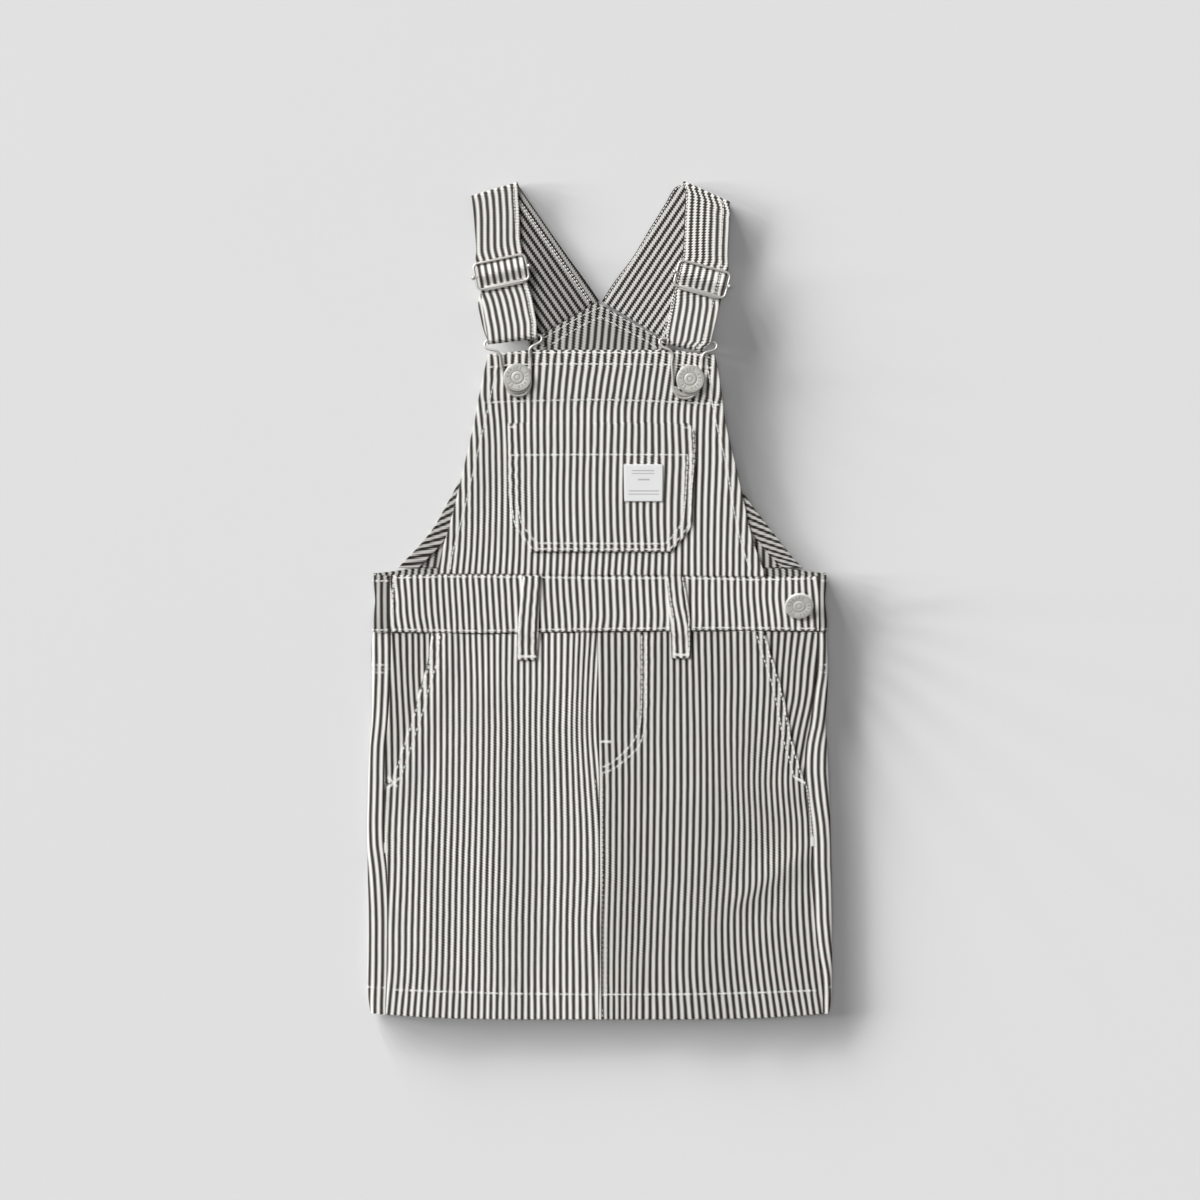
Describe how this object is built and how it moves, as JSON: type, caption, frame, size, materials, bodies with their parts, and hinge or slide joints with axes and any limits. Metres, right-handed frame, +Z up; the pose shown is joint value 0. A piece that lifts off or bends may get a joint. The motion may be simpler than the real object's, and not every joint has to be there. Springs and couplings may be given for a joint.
{
  "type": "pinafore dress",
  "caption": "Small child's dungaree pinafore dress in striped twill laid flat: pocketed bib, folded straps through wire sliders, wire clips on tack buttons, waistband and skirt.",
  "frame": {"origin": "on the surface that the dress lies on, under the middle of its outline", "axes": "+Y from the hem up to the straps, +X to the right as seen from above, +Z up from the surface through the front"},
  "size_m": [0.288, 0.5206, 0.0149],
  "materials": {
    "twill": "striped cotton twill, charcoal brown and off-white, matt",
    "twill_inside": "the same twill where its inside shows, matt",
    "woven_label": "fine white woven label, matt",
    "nickel": "matt nickel"
  },
  "bodies": {
    "root": {"back_yoke": "twill", "skirt_back": "twill", "skirt_front_left": "twill", "skirt_front_right": "twill", "pocket_side_left": "twill", "pocket_side_right": "twill", "waistband_front": "twill", "belt_loop_left": "twill", "belt_loop_right": "twill", "bib_front": "twill", "bib_pocket": "twill", "strap_left": "twill", "strap_right": "twill", "waistband_back": "twill_inside", "back_bib": "twill_inside", "armhole_facing_left": "twill_inside", "armhole_facing_right": "twill_inside", "pocket_label": "woven_label", "slider_left": "nickel", "slider_right": "nickel", "clip_left": "nickel", "clip_right": "nickel", "bib_button_left": "nickel", "bib_button_right": "nickel", "waist_button": "nickel"}
  },
  "joints": []
}
